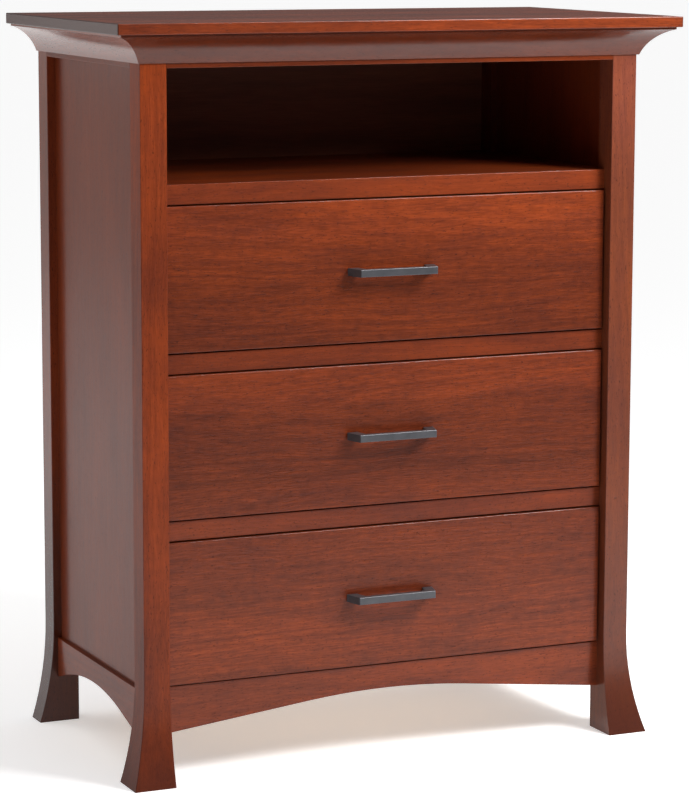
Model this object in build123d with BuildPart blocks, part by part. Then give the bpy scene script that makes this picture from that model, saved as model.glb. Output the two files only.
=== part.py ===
from build123d import *
from math import cos, radians, sin, tan
import os

os.makedirs("parts", exist_ok=True)

# Media chest in solid cherry: four flared legs, framed sides, a coved crown under a slab top,
# an open media bay and three inset drawers on full-extension side slides.
# Sizes are millimetres. The origin lies on the floor at the centre of the top's outline,
# the front faces -Y and +Z is up.

# Case
chest_height = 1137.0
case_width = 821.0
case_depth = 455.0
top_thickness = 16.5
top_overhang = 52.0
top_ease = 1.5

# Legs
leg_size = 41.5
flare_reach = 24.5
flare_height = 160.0
leg_ease = 0.7

# Crown cove under the top
crown_height = 43.0
crown_lip = 3.0
crown_reach = 44.5
crown_band = 3.5
crown_hollow = 7.1

# Front and rear rails
rail_height = 30.0
rail_thickness = 20.0
rail_setback = 21.8
rail_ease = 1.0
top_rail_height = 50.5
rear_rail_height = 73.0

# Stub tenons and panel tongues
tenon_length = 9.0
tenon_thickness = 8.0
tenon_shoulder = 4.0
tongue_depth = 5.0
tongue_thickness = 6.0
joint_clearance = 0.1

# Arched apron; an arch is two straight flanks rounded into each other at the crown
apron_top = 144.5
front_arch_crown = 106.0
front_arch_angle = 6.5
front_arch_round_share = 0.36

# Sides
side_panel_setback = 13.2
side_panel_thickness = 18.0
side_rail_setback = 6.8
side_rail_top = 138.3
side_arch_crown = 103.0
side_arch_angle = 16.0
side_arch_round_share = 0.67
side_arch_shift = 20.0

# Back panel and its cable port
back_thickness = 6.0
back_rabbet = 9.0
back_lap = 40.0
port_radius = 30.0
port_height = 70.0
port_offset = 250.0

# Media bay and its shelf
bay_height = 171.0
shelf_thickness = 18.0
shelf_clearance = 0.3
cleat_size = 20.0
batten_margin = 6.0

# Drawers
drawer_count = 3
drawer_gap = 2.0
front_thickness = 19.0
front_setback = 17.0
front_ease = 1.5
box_lift = 12.0
box_drop = 25.5
box_rear_gap = 11.0
board = 14.0
bottom_thickness = 6.0
bottom_lift = 12.0
groove_depth = 6.0
tail_pitch = 36.0
tail_share = 0.62
tail_slope_share = 0.16

# Side slides
slide_thickness = 12.7
slide_height = 45.0
slide_start = 2.0
slide_lift = 60.0
slide_sheet = 1.2
slide_gap = 0.4

# Bar pulls
pull_centres = 128.0
pull_post = 16.0
pull_lean = 8.0
pull_reach = 31.0
pull_height = 11.4
pull_bar = 9.0
pull_bend = 3.0
pull_ease = 1.2

# Screws
screw_radius = 2.0
screw_head_radius = 4.0
screw_head_height = 2.5
screw_clearance = 0.1
screw_bite = 12.0
pull_screw_bite = 10.0
front_screw_inset_x = 90.0
front_screw_inset_z = 40.0
top_screw_sink = 30.0
back_screw_pitch = 170.0
back_screw_margin = 40.0

# One overrun serves every cut that has to pass a face
overrun = 5.0

# Places worked out from the sizes above
leg_height = chest_height - top_thickness
leg_outer = case_width / 2
leg_inner = leg_outer - leg_size
case_front = (top_overhang - case_depth) / 2
case_back = case_front + case_depth
leg_rear_of_front = case_front + leg_size
leg_front_of_rear = case_back - leg_size
rail_front = case_front + rail_setback
top_rail_bottom = leg_height - top_rail_height
shelf_top = top_rail_bottom - bay_height
drawer_step = (shelf_top - apron_top) / drawer_count
front_height = drawer_step - rail_height - 2 * drawer_gap
front_bottoms = [apron_top + drawer_gap + index * drawer_step for index in range(drawer_count)]
panel_outer = leg_outer - side_panel_setback
panel_inner = panel_outer - side_panel_thickness
side_rail_outer = leg_outer - side_rail_setback
back_panel_front = case_back - back_thickness
rear_rail_front = back_panel_front - rail_thickness
back_panel_bottom = apron_top - back_lap
back_panel_reach = leg_inner + back_rabbet - joint_clearance
front_face = case_front + front_setback
box_front = front_face + front_thickness
box_back = back_panel_front - box_rear_gap
box_height = front_height - box_lift - box_drop
box_half = leg_inner - slide_thickness
slide_length = box_back - box_front - slide_start
screw_hole = screw_radius + screw_clearance
head_hole = screw_head_radius + screw_clearance


def keep(piece, name):
    """Label a finished piece and write it under the same name."""
    piece.part.label = name
    export_step(piece.part, f"parts/{name}.step")


def box_between(spans, mode=Mode.ADD):
    """Add or cut a block that fills an X, a Y and a Z span."""
    sizes = [high - low for low, high in spans]
    centre = tuple((low + high) / 2 for low, high in spans)
    with Locations(centre):
        Box(*sizes, mode=mode)


def widened(spans, clearance):
    """Open each span by a clearance at both ends."""
    return [(low - clearance, high + clearance) for low, high in spans]


def mirrored(spans):
    """The same spans on the other side of the chest."""
    (low_x, high_x), span_y, span_z = spans
    return [(-high_x, -low_x), span_y, span_z]


def round_pins(places, radius, span_y, mode=Mode.ADD):
    """Add or cut round bars along Y at each (x, z) place."""
    with BuildSketch(Plane.XZ.offset(-span_y[1])) as circles:
        with Locations(*places):
            Circle(radius)
    extrude(circles.sketch, amount=span_y[1] - span_y[0], mode=mode)


def upright_pins(places, radius, span_z, mode=Mode.ADD):
    """Add or cut round bars along Z at each (x, y) place."""
    with BuildSketch(Plane.XY.offset(span_z[0])) as circles:
        with Locations(*places):
            Circle(radius)
    extrude(circles.sketch, amount=span_z[1] - span_z[0], mode=mode)


def arch_heights(near_run, far_run, crown, slope, share):
    """Half length of an arch's rounded stretch, and its height there and at both ends."""
    half_round = share * (near_run + far_run) / 2
    radius = half_round / sin(radians(slope))
    shoulder = crown - radius * (1 - cos(radians(slope)))
    near_end = shoulder - (near_run - half_round) * tan(radians(slope))
    far_end = shoulder - (far_run - half_round) * tan(radians(slope))
    return half_round, shoulder, near_end, far_end


def arched_outline(near, far, middle, top, crown, slope, share):
    """Draw a rail's outline: straight top and ends, arched lower edge."""
    half_round, shoulder, near_end, far_end = arch_heights(
        middle - near, far - middle, crown, slope, share
    )
    round_near = (middle - half_round, shoulder)
    round_far = (middle + half_round, shoulder)
    Polyline(round_near, (near, near_end), (near, top), (far, top), (far, far_end), round_far)
    ThreePointArc(round_near, (middle, crown), round_far)


# Tenon places, shared by each rail and the legs that it enters
front_arch_ends = arch_heights(
    leg_inner, leg_inner, front_arch_crown, front_arch_angle, front_arch_round_share
)
side_arch_middle = (leg_rear_of_front + leg_front_of_rear) / 2 + side_arch_shift
side_arch_ends = arch_heights(
    side_arch_middle - leg_rear_of_front,
    leg_front_of_rear - side_arch_middle,
    side_arch_crown,
    side_arch_angle,
    side_arch_round_share,
)
# Each front rail: its lower edge at the legs, its upper edge and its front face
front_rails = {
    "front_apron_rail": (front_arch_ends[2], apron_top, rail_front),
    "divider_rail_lower": (
        front_bottoms[1] - drawer_gap - rail_height,
        front_bottoms[1] - drawer_gap,
        rail_front,
    ),
    "divider_rail_upper": (
        front_bottoms[2] - drawer_gap - rail_height,
        front_bottoms[2] - drawer_gap,
        rail_front,
    ),
    "shelf_front_rail": (shelf_top - rail_height, shelf_top, rail_front),
    "front_top_rail": (top_rail_bottom, leg_height, case_front),
}
rear_rails = {
    "rear_bottom_rail": (apron_top - rear_rail_height, apron_top, rear_rail_front),
    "rear_top_rail": (top_rail_bottom, leg_height, rear_rail_front),
}


def rail_tenon(bottom, top, front):
    """The tenon at a rail's right-hand end."""
    return [
        (leg_inner, leg_inner + tenon_length),
        (front + tenon_shoulder, front + tenon_shoulder + tenon_thickness),
        (bottom + tenon_shoulder, top - tenon_shoulder),
    ]


def side_tenons():
    """The front and the rear tenon of the right-hand side's bottom rail."""
    outer = side_rail_outer - tenon_shoulder
    span_x = (outer - tenon_thickness, outer)
    top = side_rail_top - tenon_shoulder
    near_end, far_end = side_arch_ends[2:]
    front = [span_x, (leg_rear_of_front - tenon_length, leg_rear_of_front), (near_end + tenon_shoulder, top)]
    rear = [span_x, (leg_front_of_rear, leg_front_of_rear + tenon_length), (far_end + tenon_shoulder, top)]
    return front, rear


def panel_tongues():
    """The front and the rear tongue of the right-hand side panel."""
    middle = (panel_inner + panel_outer) / 2
    span_x = (middle - tongue_thickness / 2, middle + tongue_thickness / 2)
    span_z = (side_rail_top, leg_height)
    front = [span_x, (leg_rear_of_front - tongue_depth, leg_rear_of_front), span_z]
    rear = [span_x, (leg_front_of_rear, leg_front_of_rear + tongue_depth), span_z]
    return front, rear


def leg_outline(inner, outer, side):
    """Draw one view of a leg that is straight inside and flares out at the foot."""
    toe = (outer + side * flare_reach, 0)
    Polyline((outer, flare_height), (outer, leg_height), (inner, leg_height), (inner, 0), toe)
    TangentArc((outer, flare_height), toe, tangent=(0, -1))


def ease_leg(leg, inside_corner):
    """Break the long corners of a leg, all but the one inside the case."""
    corners = [
        edge
        for edge in leg.edges()
        if edge.bounding_box().size.Z > flare_height / 2
        and abs(edge.center().X - inside_corner[0]) + abs(edge.center().Y - inside_corner[1]) > leg_ease
    ]
    chamfer(corners, leg_ease)


# Front legs: flared forward and sideways
with BuildPart() as leg_front_right:
    with BuildSketch(Plane.XZ.offset(flare_reach - case_front)):
        with BuildLine():
            leg_outline(leg_inner, leg_outer, 1)
        make_face()
    extrude(amount=-(leg_size + flare_reach))
    with BuildSketch(Plane.YZ.offset(leg_inner)):
        with BuildLine():
            leg_outline(leg_rear_of_front, case_front, -1)
        make_face()
    extrude(amount=leg_size + flare_reach, mode=Mode.INTERSECT)
    ease_leg(leg_front_right, (leg_inner, leg_rear_of_front))
    for rail in front_rails.values():
        box_between(widened(rail_tenon(*rail), joint_clearance), mode=Mode.SUBTRACT)
    box_between(widened(side_tenons()[0], joint_clearance), mode=Mode.SUBTRACT)
    box_between(widened(panel_tongues()[0], joint_clearance), mode=Mode.SUBTRACT)
keep(leg_front_right, "leg_front_right")

with BuildPart() as leg_front_left:
    mirror(leg_front_right.part, about=Plane.YZ)
keep(leg_front_left, "leg_front_left")

# Back screws, placed here because they enter the rear legs
side_screw_low = apron_top + back_screw_margin
side_screw_high = top_rail_bottom - back_screw_margin
side_screw_steps = max(1, round((side_screw_high - side_screw_low) / back_screw_pitch))
side_screw_step = (side_screw_high - side_screw_low) / side_screw_steps
side_screw_x = leg_inner + back_rabbet / 2
side_screw_heights = [side_screw_low + index * side_screw_step for index in range(side_screw_steps + 1)]
row_reach = leg_inner - back_screw_margin
row_steps = 3
row_step = 2 * row_reach / row_steps
row_xs = [index * row_step - row_reach for index in range(row_steps + 1)]
row_heights = [apron_top - back_lap / 2, leg_height - top_rail_height / 2]
back_screw_places = [(x, z) for x in (-side_screw_x, side_screw_x) for z in side_screw_heights]
back_screw_places += [(x, z) for x in row_xs for z in row_heights]
back_screw_hole = (back_panel_front - screw_bite, case_back)

# Rear legs: flared sideways only, so that the chest stands flat against a wall
with BuildPart() as leg_rear_right:
    with BuildSketch(Plane.XZ.offset(-leg_front_of_rear)):
        with BuildLine():
            leg_outline(leg_inner, leg_outer, 1)
        make_face()
    extrude(amount=-leg_size)
    ease_leg(leg_rear_right, (leg_inner, leg_front_of_rear))
    rabbet = [
        (leg_inner - overrun, leg_inner + back_rabbet),
        (back_panel_front, case_back + overrun),
        (back_panel_bottom - joint_clearance, leg_height + overrun),
    ]
    box_between(rabbet, mode=Mode.SUBTRACT)
    for rail in rear_rails.values():
        box_between(widened(rail_tenon(*rail), joint_clearance), mode=Mode.SUBTRACT)
    box_between(widened(side_tenons()[1], joint_clearance), mode=Mode.SUBTRACT)
    box_between(widened(panel_tongues()[1], joint_clearance), mode=Mode.SUBTRACT)
    round_pins(back_screw_places, screw_hole, back_screw_hole, mode=Mode.SUBTRACT)
keep(leg_rear_right, "leg_rear_right")

with BuildPart() as leg_rear_left:
    mirror(leg_rear_right.part, about=Plane.YZ)
keep(leg_rear_left, "leg_rear_left")

# Top screws stand midway between the back screws of the top row, in both top rails
top_screw_xs = [(left + right) / 2 for left, right in zip(row_xs, row_xs[1:])]
top_screw_ys = [case_front + rail_thickness / 2, rear_rail_front + rail_thickness / 2]
top_screw_places = [(x, y) for x in top_screw_xs for y in top_screw_ys]
top_screw_seat = top_rail_bottom + top_screw_sink


def sink_top_screws():
    """Cut the counterbores and holes of the top screws, wherever they meet the rail."""
    upright_pins(top_screw_places, head_hole, (top_rail_bottom, top_screw_seat), mode=Mode.SUBTRACT)
    upright_pins(top_screw_places, screw_hole, (top_screw_seat, leg_height), mode=Mode.SUBTRACT)


# Front rails, flush with or set back behind the front of the legs
for name, (bottom, top, front) in front_rails.items():
    with BuildPart() as rail:
        if name == "front_apron_rail":
            with BuildSketch(Plane.XZ.offset(-front)):
                with BuildLine():
                    arched_outline(
                        -leg_inner,
                        leg_inner,
                        0,
                        apron_top,
                        front_arch_crown,
                        front_arch_angle,
                        front_arch_round_share,
                    )
                make_face()
            extrude(amount=-rail_thickness)
        else:
            box_between([(-leg_inner, leg_inner), (front, front + rail_thickness), (bottom, top)])
        front_edges = rail.faces().sort_by(Axis.Y)[0].edges()
        fillet(front_edges.filter_by(Axis.Z, reverse=True), rail_ease)
        tenon = rail_tenon(bottom, top, front)
        box_between(tenon)
        box_between(mirrored(tenon))
        if name == "shelf_front_rail":
            groove = [
                (-leg_inner, leg_inner),
                (rail_front + rail_thickness - tongue_depth, rail_front + rail_thickness),
                (shelf_top - shelf_thickness, shelf_top - shelf_thickness + tongue_thickness),
            ]
            box_between(widened(groove, joint_clearance), mode=Mode.SUBTRACT)
        if name == "front_top_rail":
            sink_top_screws()
    keep(rail, name)

# Rear rails, behind which the back panel is screwed
for name, (bottom, top, front) in rear_rails.items():
    with BuildPart() as rail:
        box_between([(-leg_inner, leg_inner), (front, front + rail_thickness), (bottom, top)])
        tenon = rail_tenon(bottom, top, front)
        box_between(tenon)
        box_between(mirrored(tenon))
        round_pins(back_screw_places, screw_hole, back_screw_hole, mode=Mode.SUBTRACT)
        if name == "rear_top_rail":
            sink_top_screws()
    keep(rail, name)

# Sides: a recessed panel, a rail above it flush with the legs and an arched rail below it
with BuildPart() as side_panel_right:
    box_between(
        [(panel_inner, panel_outer), (leg_rear_of_front, leg_front_of_rear), (side_rail_top, leg_height)]
    )
    for tongue in panel_tongues():
        box_between(tongue)
keep(side_panel_right, "side_panel_right")

with BuildPart() as side_panel_left:
    mirror(side_panel_right.part, about=Plane.YZ)
keep(side_panel_left, "side_panel_left")

with BuildPart() as side_top_rail_right:
    box_between(
        [(panel_outer, leg_outer), (leg_rear_of_front, leg_front_of_rear), (top_rail_bottom, leg_height)]
    )
    lower_edge = side_top_rail_right.edges().filter_by(Axis.Y).sort_by(Axis.Z)[:2].sort_by(Axis.X)[-1]
    fillet(lower_edge, rail_ease)
keep(side_top_rail_right, "side_top_rail_right")

with BuildPart() as side_top_rail_left:
    mirror(side_top_rail_right.part, about=Plane.YZ)
keep(side_top_rail_left, "side_top_rail_left")

with BuildPart() as side_bottom_rail_right:
    with BuildSketch(Plane.YZ.offset(panel_inner)):
        with BuildLine():
            arched_outline(
                leg_rear_of_front,
                leg_front_of_rear,
                side_arch_middle,
                side_rail_top,
                side_arch_crown,
                side_arch_angle,
                side_arch_round_share,
            )
        make_face()
    extrude(amount=side_rail_outer - panel_inner)
    outer_edges = side_bottom_rail_right.faces().sort_by(Axis.X)[-1].edges()
    fillet(outer_edges.filter_by(Axis.Z, reverse=True), rail_ease)
    for tenon in side_tenons():
        box_between(tenon)
keep(side_bottom_rail_right, "side_bottom_rail_right")

with BuildPart() as side_bottom_rail_left:
    mirror(side_bottom_rail_right.part, about=Plane.YZ)
keep(side_bottom_rail_left, "side_bottom_rail_left")

# Back panel in the rabbets of the rear legs, with a cable port behind the media bay's left end
port_place = (-port_offset, shelf_top + port_height)
with BuildPart() as back_panel:
    box_between(
        [
            (-back_panel_reach, back_panel_reach),
            (back_panel_front, case_back),
            (back_panel_bottom, leg_height),
        ]
    )
    round_pins([port_place], port_radius, (back_panel_front, case_back), mode=Mode.SUBTRACT)
    round_pins(back_screw_places, screw_hole, (back_panel_front, case_back), mode=Mode.SUBTRACT)
    head_seat = (case_back - screw_head_height, case_back)
    round_pins(back_screw_places, head_hole, head_seat, mode=Mode.SUBTRACT)
keep(back_panel, "back_panel")

with BuildPart() as back_screws:
    round_pins(back_screw_places, screw_head_radius, head_seat)
    round_pins(back_screw_places, screw_radius, (back_screw_hole[0], case_back - screw_head_height))
keep(back_screws, "back_screws")

# Media shelf, notched round the legs, tongued into its front rail and carried by side cleats
shelf_reach = leg_inner - shelf_clearance
shelf_side_reach = panel_inner - shelf_clearance
rail_back = rail_front + rail_thickness
with BuildPart() as media_shelf:
    box_between(
        [
            (-shelf_reach, shelf_reach),
            (rail_back, back_panel_front - shelf_clearance),
            (shelf_top - shelf_thickness, shelf_top),
        ]
    )
    box_between(
        [
            (-shelf_reach, shelf_reach),
            (rail_back - tongue_depth, rail_back),
            (shelf_top - shelf_thickness, shelf_top - shelf_thickness + tongue_thickness),
        ]
    )
    box_between(
        [
            (-shelf_side_reach, shelf_side_reach),
            (max(rail_back, leg_rear_of_front + shelf_clearance), leg_front_of_rear - shelf_clearance),
            (shelf_top - shelf_thickness, shelf_top),
        ]
    )
keep(media_shelf, "media_shelf")

# Battens along the sides: one under the shelf, and one for each slide to lie flush with the legs
slide_heights = [bottom + box_lift + slide_lift for bottom in front_bottoms]
batten_half = slide_height / 2 + batten_margin
batten_front = max(rail_back, leg_rear_of_front)
with BuildPart() as side_battens:
    cleat = [
        (leg_inner - cleat_size, panel_inner),
        (batten_front, leg_front_of_rear),
        (shelf_top - shelf_thickness - cleat_size, shelf_top - shelf_thickness),
    ]
    box_between(cleat)
    box_between(mirrored(cleat))
    for height in slide_heights:
        batten = [
            (leg_inner, panel_inner),
            (batten_front, leg_front_of_rear),
            (height - batten_half, height + batten_half),
        ]
        box_between(batten)
        box_between(mirrored(batten))
keep(side_battens, "side_battens")

# Top board, flush with the rear legs and overhanging the front and sides
with BuildPart() as top_board:
    top_reach = leg_outer + top_overhang
    box_between(
        [(-top_reach, top_reach), (case_front - top_overhang, case_back), (leg_height, chest_height)]
    )
    rear_edges = top_board.faces().sort_by(Axis.Y)[-1].edges()
    fillet([edge for edge in top_board.edges() if edge not in rear_edges], top_ease)
    screw_tip = leg_height + screw_bite
    upright_pins(top_screw_places, screw_hole, (leg_height, screw_tip), mode=Mode.SUBTRACT)
keep(top_board, "top_board")

with BuildPart() as top_screws:
    upright_pins(top_screw_places, screw_head_radius, (top_screw_seat - screw_head_height, top_screw_seat))
    upright_pins(top_screw_places, screw_radius, (top_screw_seat, screw_tip))
keep(top_screws, "top_screws")

# Crown cove, mitred at the two front corners
crown_bottom = leg_height - crown_height


def crown_outline(wall, side):
    """Draw the cove's section: flat against the wall, hollow outside, a band at the top."""
    foot = (wall + side * crown_lip, crown_bottom)
    brow = (wall + side * crown_reach, leg_height - crown_band)
    rise = brow[1] - foot[1]
    run = crown_reach - crown_lip
    chord = (rise**2 + run**2) ** (1 / 2)
    hollow = (
        (foot[0] + brow[0]) / 2 - side * crown_hollow * rise / chord,
        (foot[1] + brow[1]) / 2 + crown_hollow * run / chord,
    )
    Polyline(foot, (wall, crown_bottom), (wall, leg_height), (wall + side * crown_reach, leg_height), brow)
    ThreePointArc(foot, hollow, brow)


corner = (leg_outer, case_front)
mitre_tip = (leg_outer + crown_reach, case_front - crown_reach)
with BuildPart() as crown_cove_front:
    with BuildSketch(Plane.YZ.offset(-mitre_tip[0])):
        with BuildLine():
            crown_outline(case_front, -1)
        make_face()
    extrude(amount=2 * mitre_tip[0])
    with BuildSketch(Plane.XY.offset(crown_bottom)):
        with BuildLine():
            Polyline(
                (-corner[0], corner[1]),
                corner,
                mitre_tip,
                (-mitre_tip[0], mitre_tip[1]),
                close=True,
            )
        make_face()
    extrude(amount=crown_height, mode=Mode.INTERSECT)
keep(crown_cove_front, "crown_cove_front")

with BuildPart() as crown_cove_right:
    with BuildSketch(Plane.XZ.offset(-mitre_tip[1])):
        with BuildLine():
            crown_outline(leg_outer, 1)
        make_face()
    extrude(amount=mitre_tip[1] - case_back)
    with BuildSketch(Plane.XY.offset(crown_bottom)):
        with BuildLine():
            Polyline(corner, mitre_tip, (mitre_tip[0], case_back), (corner[0], case_back), close=True)
        make_face()
    extrude(amount=crown_height, mode=Mode.INTERSECT)
keep(crown_cove_right, "crown_cove_right")

with BuildPart() as crown_cove_left:
    mirror(crown_cove_right.part, about=Plane.YZ)
keep(crown_cove_left, "crown_cove_left")


def slide_channel(web, mouth, half_height, height, mode=Mode.ADD):
    """Add one folded channel, closed at its web and open at its mouth, on the right-hand side."""
    toward = 1 if mouth > web else -1
    with BuildSketch(Plane.XZ.offset(-(box_front + slide_start))) as section:
        with Locations(((web + mouth) / 2, height)):
            Rectangle(abs(mouth - web), 2 * half_height)
        with Locations(((web + mouth) / 2 + toward * slide_sheet, height)):
            Rectangle(abs(mouth - web), 2 * (half_height - slide_sheet), mode=Mode.SUBTRACT)
    extrude(section.sketch, amount=-slide_length, mode=mode)


# Slide sections, from the case inwards
case_web = leg_inner
middle_web = case_web - slide_sheet - slide_gap
drawer_web = box_half
case_mouth = drawer_web + slide_sheet + slide_gap
drawer_mouth = middle_web - slide_sheet - slide_gap
case_half = slide_height / 2
middle_half = case_half - slide_sheet - slide_gap
drawer_half = middle_half - slide_sheet - slide_gap

with BuildPart() as slide_case_members:
    for height in slide_heights:
        slide_channel(case_web, case_mouth, case_half, height)
        slide_channel(-case_web, -case_mouth, case_half, height)
keep(slide_case_members, "slide_case_members")

# Pull outline, seen from above: posts lean in towards a straight bar
pull_root = pull_centres / 2 + pull_post / 2
pull_inner_root = pull_root - pull_post
bar_back = pull_reach - pull_bar
inner_lean = pull_lean * bar_back / pull_reach


def tail_outlines(shoulder, end, box_bottom):
    """Draw a row of dovetails that widen from the shoulder line to the board's end."""
    count = max(2, round(box_height / tail_pitch))
    pitch = box_height / count
    wide = tail_share * pitch / 2
    narrow = wide - tail_slope_share * board
    for index in range(count):
        middle = box_bottom + (index + 1 / 2) * pitch
        Polygon(
            (shoulder, middle - narrow),
            (end, middle - wide),
            (end, middle + wide),
            (shoulder, middle + narrow),
        )


def make_drawer(place, front_bottom, slide_height_here):
    """Make every piece of one drawer, named for its place in the chest."""
    box_bottom = front_bottom + box_lift
    box_span = (box_bottom, box_bottom + box_height)
    inner_front = box_front + board
    inner_back = box_back - board
    panel_reach = box_half - board + groove_depth - joint_clearance
    panel = [
        (-panel_reach, panel_reach),
        (inner_front - groove_depth + joint_clearance, inner_back + groove_depth - joint_clearance),
        (box_bottom + bottom_lift, box_bottom + bottom_lift + bottom_thickness),
    ]
    groove = widened(panel, joint_clearance)
    middle = front_bottom + front_height / 2
    pull_places = [(-pull_centres / 2, middle), (pull_centres / 2, middle)]
    screw_xs = (front_screw_inset_x - box_half, box_half - front_screw_inset_x)
    screw_zs = (box_span[0] + front_screw_inset_z, box_span[1] - front_screw_inset_z)
    screw_places = [(x, z) for x in screw_xs for z in screw_zs]

    with BuildPart() as front:
        reach = leg_inner - drawer_gap
        box_between([(-reach, reach), (front_face, box_front), (front_bottom, front_bottom + front_height)])
        fillet(front.faces().sort_by(Axis.Y)[0].edges(), front_ease)
        round_pins(pull_places, screw_hole, (front_face, box_front), mode=Mode.SUBTRACT)
        round_pins(screw_places, screw_hole, (box_front - screw_bite, box_front), mode=Mode.SUBTRACT)
    keep(front, f"drawer_{place}_front")

    with BuildPart() as end_front:
        box_between([(-box_half, box_half), (box_front, inner_front), box_span])
        for inside in (box_half - board, -box_half):
            with BuildSketch(Plane.YZ.offset(inside)):
                tail_outlines(inner_front, box_front, box_bottom)
            extrude(amount=board, mode=Mode.SUBTRACT)
        box_between(groove, mode=Mode.SUBTRACT)
        round_pins(pull_places + screw_places, screw_hole, (box_front, inner_front), mode=Mode.SUBTRACT)
    keep(end_front, f"drawer_{place}_box_front")

    with BuildPart() as end_back:
        box_between([(-box_half, box_half), (inner_back, box_back), box_span])
        for inside in (box_half - board, -box_half):
            with BuildSketch(Plane.YZ.offset(inside)):
                tail_outlines(inner_back, box_back, box_bottom)
            extrude(amount=board, mode=Mode.SUBTRACT)
        box_between(groove, mode=Mode.SUBTRACT)
    keep(end_back, f"drawer_{place}_box_back")

    with BuildPart() as side_right:
        box_between([(box_half - board, box_half), (inner_front, inner_back), box_span])
        with BuildSketch(Plane.YZ.offset(box_half - board)):
            tail_outlines(inner_front, box_front, box_bottom)
            tail_outlines(inner_back, box_back, box_bottom)
        extrude(amount=board)
        box_between(groove, mode=Mode.SUBTRACT)
    keep(side_right, f"drawer_{place}_side_right")

    with BuildPart() as side_left:
        mirror(side_right.part, about=Plane.YZ)
    keep(side_left, f"drawer_{place}_side_left")

    with BuildPart() as bottom_panel:
        box_between(panel)
    keep(bottom_panel, f"drawer_{place}_bottom")

    with BuildPart() as pull:
        with BuildSketch(Plane.XY.offset(middle - pull_height / 2)) as outline:
            with BuildLine():
                Polyline(
                    (-pull_root, front_face),
                    (-pull_root + pull_lean, front_face - pull_reach),
                    (pull_root - pull_lean, front_face - pull_reach),
                    (pull_root, front_face),
                    (pull_inner_root, front_face),
                    (pull_inner_root - inner_lean, front_face - bar_back),
                    (inner_lean - pull_inner_root, front_face - bar_back),
                    (-pull_inner_root, front_face),
                    close=True,
                )
            make_face()
            bar_line = front_face - bar_back
            fillet([corner for corner in outline.vertices() if abs(corner.Y - bar_line) < pull_ease], pull_bend)
        extrude(amount=pull_height)
        outside = pull.faces().filter_by(Axis.Y).sort_by(Axis.Y)[0].edges()
        fillet(outside, pull_ease)
        thread = (front_face - pull_screw_bite, front_face)
        round_pins(pull_places, screw_hole, thread, mode=Mode.SUBTRACT)
    keep(pull, f"drawer_{place}_pull")

    head_span = (inner_front, inner_front + screw_head_height)
    with BuildPart() as pull_screws:
        round_pins(pull_places, screw_head_radius, head_span)
        round_pins(pull_places, screw_radius, (front_face - pull_screw_bite, inner_front))
    keep(pull_screws, f"drawer_{place}_pull_screws")

    with BuildPart() as front_screws:
        round_pins(screw_places, screw_head_radius, head_span)
        round_pins(screw_places, screw_radius, (box_front - screw_bite, inner_front))
    keep(front_screws, f"drawer_{place}_front_screws")

    with BuildPart() as drawer_members:
        slide_channel(drawer_web, drawer_mouth, drawer_half, slide_height_here)
        slide_channel(-drawer_web, -drawer_mouth, drawer_half, slide_height_here)
    keep(drawer_members, f"drawer_{place}_slide_members")

    with BuildPart() as middle_members:
        slide_channel(middle_web, case_mouth, middle_half, slide_height_here)
        slide_channel(-middle_web, -case_mouth, middle_half, slide_height_here)
    keep(middle_members, f"drawer_{place}_middle_members")


for place, front_bottom, height in zip(("lower", "middle", "upper"), front_bottoms, slide_heights):
    make_drawer(place, front_bottom, height)
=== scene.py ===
"""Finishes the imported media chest: stained cherry, pale boxes, steel slides and dark pulls."""

import math

import bmesh
import bpy
from mathutils import Matrix, Vector


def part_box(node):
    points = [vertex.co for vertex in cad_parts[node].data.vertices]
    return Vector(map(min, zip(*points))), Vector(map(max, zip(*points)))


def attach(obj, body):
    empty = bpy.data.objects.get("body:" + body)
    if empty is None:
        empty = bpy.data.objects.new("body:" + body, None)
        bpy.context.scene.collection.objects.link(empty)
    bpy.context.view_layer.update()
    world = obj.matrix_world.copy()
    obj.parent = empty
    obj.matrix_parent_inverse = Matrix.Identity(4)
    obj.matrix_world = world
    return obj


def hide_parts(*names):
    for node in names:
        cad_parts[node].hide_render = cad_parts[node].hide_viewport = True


bl_info = {
    "name": "Media chest finishes",
    "version": (1, 0, 0),
    "blender": (4, 5, 0),
    "location": "3D Viewport > Sidebar > Media Chest",
    "description": "Gives the packed media chest its woods, metals, small hardware and studio",
    "category": "Object",
}

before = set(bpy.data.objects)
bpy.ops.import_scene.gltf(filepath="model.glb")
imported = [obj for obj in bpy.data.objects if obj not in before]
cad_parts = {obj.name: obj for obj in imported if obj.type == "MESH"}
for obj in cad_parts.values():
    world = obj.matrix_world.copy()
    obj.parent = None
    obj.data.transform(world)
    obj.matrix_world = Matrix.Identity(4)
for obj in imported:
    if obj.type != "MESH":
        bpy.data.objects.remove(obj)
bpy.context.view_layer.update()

PLACES = ("upper", "middle", "lower")

# A log's directions are one along its fibres and two across them. By the axis that a board's
# fibres follow: which axis of the chest each of the three is, and the fibres' direction
LOG_AXES = {"X": (0, 1, 2), "Y": (1, 2, 0), "Z": (2, 1, 0)}
FIBRES_RUN = {"X": (1, 0, 0), "Y": (0, 1, 0), "Z": (0, 0, 1)}
# The chest's axes from front to back and up
DEEP, UP = 1, 2

# Fibres stray some millimetres from a straight line: how often in a metre, and within how far
SWAYS_PER_METRE = (2.6, 7.0, 7.0)
SWAY_REACH = (0.0, 0.030, 0.030)

# Nearly all of a noise's values lie between these two
NOISE_SPAN = {"From Min": 0.3, "From Max": 0.7}

# Distances in metres at which vertices are one, and at which they lie in one plane
SAME_VERTEX = 1e-6
SAME_PLANE = 1e-5

# A pan head's outline from its crown down, as shares of its radius and of its height
PAN_HEAD = ((0.40, 0.0), (0.70, 0.07), (0.88, 0.22), (0.97, 0.45), (1.0, 0.70), (1.0, 1.0))
SHARP_EDGE = math.radians(35)


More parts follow.
